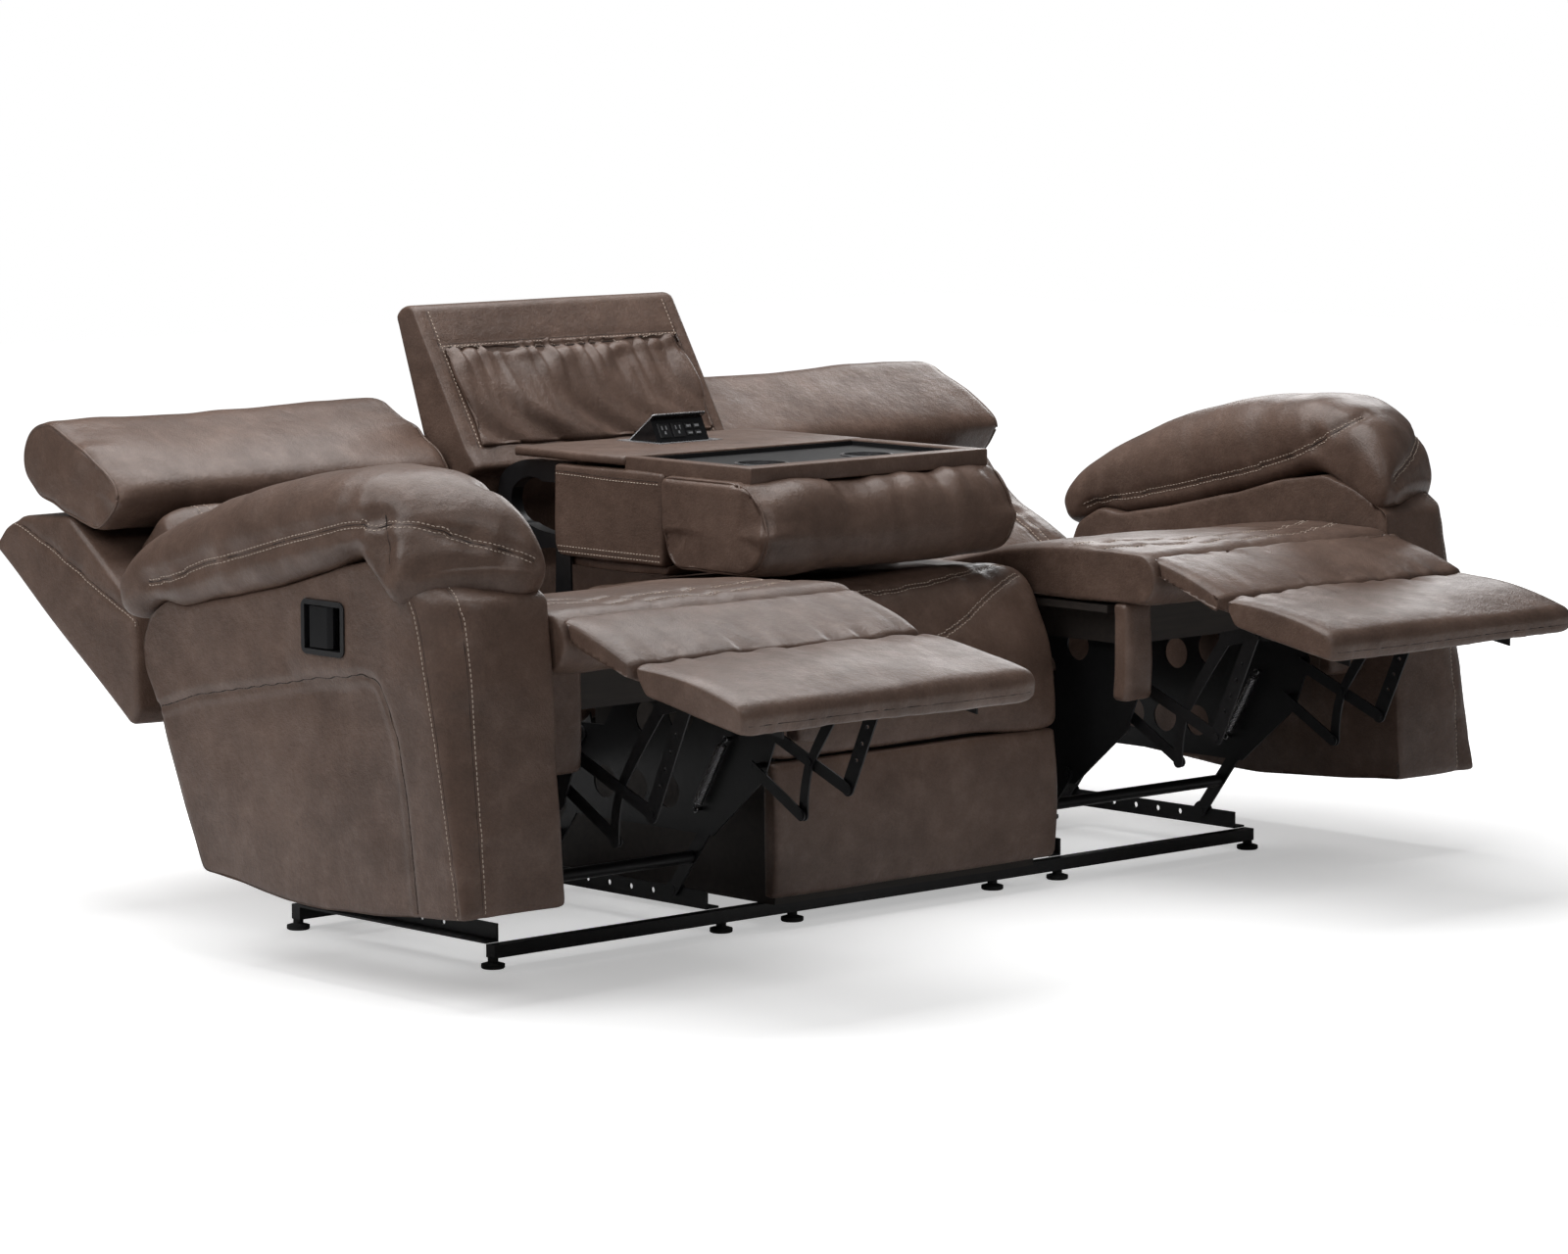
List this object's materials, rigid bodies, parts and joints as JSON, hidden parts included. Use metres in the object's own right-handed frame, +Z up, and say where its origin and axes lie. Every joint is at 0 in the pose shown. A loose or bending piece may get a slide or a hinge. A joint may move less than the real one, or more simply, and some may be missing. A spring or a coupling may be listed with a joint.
{
  "type": "reclining sofa with drop-down console",
  "caption": "Leather sofa with a lay-back recliner at each end, shown open, and a fold-down console with a cup tray and pop-up outlet between them.",
  "frame": {"origin": "on the floor under the middle of the sofa as it stands open, footrests out and backs laid down", "axes": "+X towards the sofa's right-hand end as seen from in front, +Y from the front towards the back, +Z up"},
  "size_m": [2.26, 1.7131, 0.9319],
  "materials": {
    "seat_leather": "soft mottled brown leather, satin",
    "trim_leather": "smooth brown leather stretched over boards, satin",
    "frame_wood": "plain plywood boards",
    "black_steel": "black powder coat, semi-gloss",
    "black_rubber": "matte black",
    "black_plastic": "fine-grained black plastic",
    "gloss_black": "smooth black",
    "silver_plastic": "silver painted plastic",
    "cup_steel": "brushed bright steel",
    "spring_steel": "bright spring steel"
  },
  "bodies": {
    "base": {"base_cross_rails": "black_steel", "base_side_rails": "black_steel", "base_feet": "black_rubber", "centre_seat_frame": "frame_wood", "centre_seat_cushion": "seat_leather", "centre_front_panel": "trim_leather", "centre_back_shell": "trim_leather", "shell_inset_panel": "seat_leather", "console_hinge_brackets": "black_steel"},
    "console": {"console_frame": "trim_leather", "console_tray": "black_plastic", "cup_holders": "cup_steel", "console_roll": "seat_leather", "console_back_pad": "seat_leather", "console_hinge_arms": "black_plastic", "outlet_housing": "silver_plastic"},
    "outlet": {"outlet_flap": "gloss_black"},
    "right_rear_swing": {"right_rear_swing_frame": "black_steel"},
    "right_front_swing": {"right_front_swing_frame": "black_steel"},
    "right_carriage": {"right_arm_panel": "trim_leather", "right_arm_pad": "seat_leather", "right_seat_frame": "frame_wood", "right_seat_cushion": "seat_leather", "right_side_plates": "black_steel", "right_handle_bezel": "black_plastic", "right_recliner_springs": "spring_steel"},
    "right_back": {"right_back_frame": "trim_leather", "right_lumbar_cushion": "seat_leather", "right_headrest_roll": "seat_leather"},
    "right_chaise": {"right_chaise_pad": "seat_leather"},
    "right_ottoman": {"right_ottoman_pad": "seat_leather", "right_ottoman_board": "trim_leather", "right_ottoman_brackets": "black_steel"},
    "right_lift_link": {"right_lift_links": "black_steel"},
    "right_stay_link": {"right_stay_links": "black_steel"},
    "right_ottoman_link": {"right_ottoman_links": "black_steel"},
    "right_cross_link": {"right_cross_links": "black_steel"},
    "right_handle": {"right_pull_handle": "gloss_black"},
    "left_rear_swing": {"left_rear_swing_frame": "black_steel"},
    "left_front_swing": {"left_front_swing_frame": "black_steel"},
    "left_carriage": {"left_arm_panel": "trim_leather", "left_arm_pad": "seat_leather", "left_seat_frame": "frame_wood", "left_seat_cushion": "seat_leather", "left_side_plates": "black_steel", "left_handle_bezel": "black_plastic", "left_recliner_springs": "spring_steel"},
    "left_back": {"left_back_frame": "trim_leather", "left_lumbar_cushion": "seat_leather", "left_headrest_roll": "seat_leather"},
    "left_chaise": {"left_chaise_pad": "seat_leather"},
    "left_ottoman": {"left_ottoman_pad": "seat_leather", "left_ottoman_board": "trim_leather", "left_ottoman_brackets": "black_steel"},
    "left_lift_link": {"left_lift_links": "black_steel"},
    "left_stay_link": {"left_stay_links": "black_steel"},
    "left_ottoman_link": {"left_ottoman_links": "black_steel"},
    "left_cross_link": {"left_cross_links": "black_steel"},
    "left_handle": {"left_pull_handle": "gloss_black"}
  },
  "joints": [
    {"name": "right_recline", "type": "hinge", "parent": "base", "child": "right_rear_swing", "pos_m": [0.6, 0.1855, 0.06], "axis": [-1, 0, 0], "range_deg": [0, 100.9]},
    {"name": "right_front_swing_pivot", "type": "hinge", "parent": "base", "child": "right_front_swing", "pos_m": [0.6, -0.1295, 0.06], "axis": [-1, 0, 0], "range_deg": [0, 101]},
    {"name": "right_carriage_pivot", "type": "hinge", "parent": "right_rear_swing", "child": "right_carriage", "pos_m": [0.6, 0.10115, 0.17173], "axis": [1, 0, 0], "range_deg": [0, 101]},
    {"name": "right_back_hinge", "type": "hinge", "parent": "right_carriage", "child": "right_back", "pos_m": [0.6, 0.0855, 0.28], "axis": [1, 0, 0], "range_deg": [0, 42.1]},
    {"name": "right_footrest", "type": "hinge", "parent": "right_carriage", "child": "right_chaise", "pos_m": [0.6, -0.4335, 0.515], "axis": [1, 0, 0], "range_deg": [0, 74]},
    {"name": "right_ottoman_hinge", "type": "hinge", "parent": "right_chaise", "child": "right_ottoman", "pos_m": [0.6, -0.6195, 0.5], "axis": [1, 0, 0], "range_deg": [0, 5.5]},
    {"name": "right_lift_link_pivot", "type": "hinge", "parent": "right_carriage", "child": "right_lift_link", "pos_m": [0.6, -0.3623, 0.3342], "axis": [1, 0, 0], "range_deg": [0, 78.2]},
    {"name": "right_stay_link_pivot", "type": "hinge", "parent": "right_carriage", "child": "right_stay_link", "pos_m": [0.6, -0.3363, 0.2763], "axis": [1, 0, 0], "range_deg": [0, 47.4]},
    {"name": "right_ottoman_link_pivot", "type": "hinge", "parent": "right_lift_link", "child": "right_ottoman_link", "pos_m": [0.6, -0.5363, 0.2635], "axis": [-1, 0, 0], "range_deg": [0, 77.9]},
    {"name": "right_cross_link_pivot", "type": "hinge", "parent": "right_lift_link", "child": "right_cross_link", "pos_m": [0.6, -0.45798, 0.29534], "axis": [-1, 0, 0], "range_deg": [0, 101]},
    {"name": "right_handle_pull", "type": "hinge", "parent": "right_carriage", "child": "right_handle", "pos_m": [1.096, -0.1345, 0.5305], "axis": [0, 0, 1], "range_deg": [0, 28], "stiffness_Nm_per_rad": 0.4},
    {"name": "left_recline", "type": "hinge", "parent": "base", "child": "left_rear_swing", "pos_m": [-0.6, 0.1855, 0.06], "axis": [-1, 0, 0], "range_deg": [0, 100.9]},
    {"name": "left_front_swing_pivot", "type": "hinge", "parent": "base", "child": "left_front_swing", "pos_m": [-0.6, -0.1295, 0.06], "axis": [-1, 0, 0], "range_deg": [0, 101]},
    {"name": "left_carriage_pivot", "type": "hinge", "parent": "left_rear_swing", "child": "left_carriage", "pos_m": [-0.6, 0.10115, 0.17173], "axis": [1, 0, 0], "range_deg": [0, 101]},
    {"name": "left_back_hinge", "type": "hinge", "parent": "left_carriage", "child": "left_back", "pos_m": [-0.6, 0.0855, 0.28], "axis": [1, 0, 0], "range_deg": [0, 42.1]},
    {"name": "left_footrest", "type": "hinge", "parent": "left_carriage", "child": "left_chaise", "pos_m": [-0.6, -0.4335, 0.515], "axis": [1, 0, 0], "range_deg": [0, 74]},
    {"name": "left_ottoman_hinge", "type": "hinge", "parent": "left_chaise", "child": "left_ottoman", "pos_m": [-0.6, -0.6195, 0.5], "axis": [1, 0, 0], "range_deg": [0, 5.5]},
    {"name": "left_lift_link_pivot", "type": "hinge", "parent": "left_carriage", "child": "left_lift_link", "pos_m": [-0.6, -0.3623, 0.3342], "axis": [1, 0, 0], "range_deg": [0, 78.2]},
    {"name": "left_stay_link_pivot", "type": "hinge", "parent": "left_carriage", "child": "left_stay_link", "pos_m": [-0.6, -0.3363, 0.2763], "axis": [1, 0, 0], "range_deg": [0, 47.4]},
    {"name": "left_ottoman_link_pivot", "type": "hinge", "parent": "left_lift_link", "child": "left_ottoman_link", "pos_m": [-0.6, -0.5363, 0.2635], "axis": [-1, 0, 0], "range_deg": [0, 77.9]},
    {"name": "left_cross_link_pivot", "type": "hinge", "parent": "left_lift_link", "child": "left_cross_link", "pos_m": [-0.6, -0.45798, 0.29534], "axis": [-1, 0, 0], "range_deg": [0, 101]},
    {"name": "left_handle_pull", "type": "hinge", "parent": "left_carriage", "child": "left_handle", "pos_m": [-1.096, -0.1345, 0.5305], "axis": [0, 0, -1], "range_deg": [0, 28], "stiffness_Nm_per_rad": 0.4},
    {"name": "console_hinge", "type": "hinge", "parent": "base", "child": "console", "pos_m": [0, 0.2835, 0.56], "axis": [-1, 0, 0], "range_deg": [0, 103]},
    {"name": "outlet_flap_hinge", "type": "hinge", "parent": "console", "child": "outlet", "pos_m": [0, 0.3605, 0.704], "axis": [1, 0, 0], "range_deg": [0, 36.7]}
  ],
  "couplings": [
    {"joint": "right_front_swing_pivot", "follows": "right_recline", "ratio": 1},
    {"joint": "right_carriage_pivot", "follows": "right_recline", "ratio": 1},
    {"joint": "right_back_hinge", "follows": "right_recline", "ratio": 0.41625},
    {"joint": "right_ottoman_hinge", "follows": "right_footrest", "ratio": 0.072973},
    {"joint": "right_lift_link_pivot", "follows": "right_footrest", "ratio": 1.0555},
    {"joint": "right_stay_link_pivot", "follows": "right_footrest", "ratio": 0.63903},
    {"joint": "right_ottoman_link_pivot", "follows": "right_footrest", "ratio": 1.0505},
    {"joint": "right_cross_link_pivot", "follows": "right_footrest", "ratio": 1.3627},
    {"joint": "left_front_swing_pivot", "follows": "left_recline", "ratio": 1},
    {"joint": "left_carriage_pivot", "follows": "left_recline", "ratio": 1},
    {"joint": "left_back_hinge", "follows": "left_recline", "ratio": 0.41625},
    {"joint": "left_ottoman_hinge", "follows": "left_footrest", "ratio": 0.072973},
    {"joint": "left_lift_link_pivot", "follows": "left_footrest", "ratio": 1.0555},
    {"joint": "left_stay_link_pivot", "follows": "left_footrest", "ratio": 0.63903},
    {"joint": "left_ottoman_link_pivot", "follows": "left_footrest", "ratio": 1.0505},
    {"joint": "left_cross_link_pivot", "follows": "left_footrest", "ratio": 1.3627}
  ]
}
